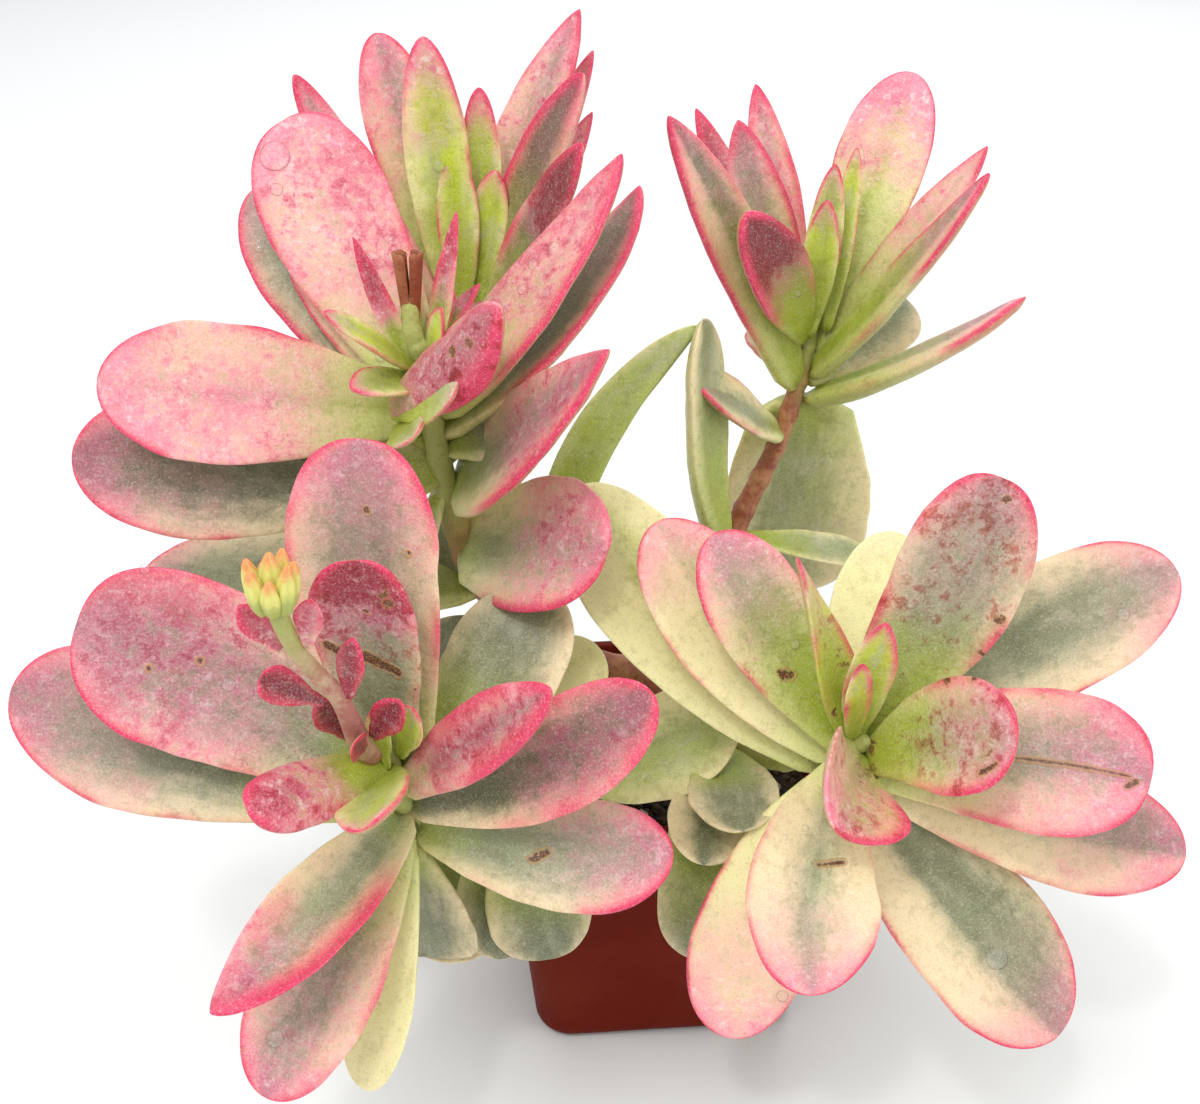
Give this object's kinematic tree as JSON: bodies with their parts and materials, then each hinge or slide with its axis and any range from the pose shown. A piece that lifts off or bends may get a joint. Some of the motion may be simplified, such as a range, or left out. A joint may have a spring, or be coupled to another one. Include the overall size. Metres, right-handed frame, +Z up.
{
  "type": "potted crassula",
  "caption": "Bushy branching succulent with thick paddle-shaped leaves, sage green with cream margins and pink blush, growing from soil in a small square plastic pot.",
  "frame": {"origin": "centre of the pot's flat base, on the surface it stands on", "axes": "+Z up; the pot's walls are square to X and Y; the plant's fuller front faces -Y"},
  "size_m": [0.2023, 0.1382, 0.1908],
  "materials": {
    "pot_plastic": "satin",
    "potting_soil": "matte",
    "stem_bark": "matte",
    "flower_stalk": "satin",
    "leaf_skin": "satin"
  },
  "bodies": {
    "root": {"flower_stalk": "flower_stalk", "front_left_leaf_01": "leaf_skin", "front_left_leaf_02": "leaf_skin", "front_left_leaf_03": "leaf_skin", "front_left_leaf_04": "leaf_skin", "front_left_leaf_05": "leaf_skin", "front_left_leaf_06": "leaf_skin", "front_left_leaf_07": "leaf_skin", "front_left_leaf_08": "leaf_skin", "front_left_leaf_09": "leaf_skin", "front_left_leaf_10": "leaf_skin", "front_left_leaf_11": "leaf_skin", "front_left_leaf_12": "leaf_skin", "front_right_leaf_01": "leaf_skin", "front_right_leaf_02": "leaf_skin", "front_right_leaf_03": "leaf_skin", "front_right_leaf_04": "leaf_skin", "front_right_leaf_05": "leaf_skin", "front_right_leaf_06": "leaf_skin", "front_right_leaf_07": "leaf_skin", "front_right_leaf_08": "leaf_skin", "front_right_leaf_09": "leaf_skin", "front_right_leaf_10": "leaf_skin", "front_right_leaf_11": "leaf_skin", "front_right_leaf_12": "leaf_skin", "front_right_leaf_13": "leaf_skin", "left_branch_leaf_01": "leaf_skin", "left_branch_leaf_02": "leaf_skin", "lower_left_leaf_01": "leaf_skin", "lower_left_leaf_02": "leaf_skin", "lower_right_leaf_01": "leaf_skin", "main_stem": "stem_bark", "pot": "pot_plastic", "rear_left_leaf_01": "leaf_skin", "rear_left_leaf_02": "leaf_skin", "rear_left_leaf_03": "leaf_skin", "rear_left_leaf_04": "leaf_skin", "rear_left_leaf_05": "leaf_skin", "rear_left_leaf_06": "leaf_skin", "rear_right_leaf_01": "leaf_skin", "rear_right_leaf_02": "leaf_skin", "rear_right_leaf_03": "leaf_skin", "rear_right_leaf_04": "leaf_skin", "rear_right_leaf_05": "leaf_skin", "rear_right_leaf_06": "leaf_skin", "rear_right_leaf_07": "leaf_skin", "rear_right_leaf_08": "leaf_skin", "rear_stem": "stem_bark", "rear_stem_leaf_01": "leaf_skin", "rear_stem_leaf_02": "leaf_skin", "soil": "potting_soil", "upper_left_leaf_01": "leaf_skin", "upper_left_leaf_02": "leaf_skin", "upper_left_leaf_03": "leaf_skin", "upper_left_leaf_04": "leaf_skin", "upper_left_leaf_05": "leaf_skin", "upper_left_leaf_06": "leaf_skin", "upper_left_leaf_07": "leaf_skin", "upper_left_leaf_08": "leaf_skin", "upper_left_side_leaf_01": "leaf_skin"}
  },
  "joints": []
}
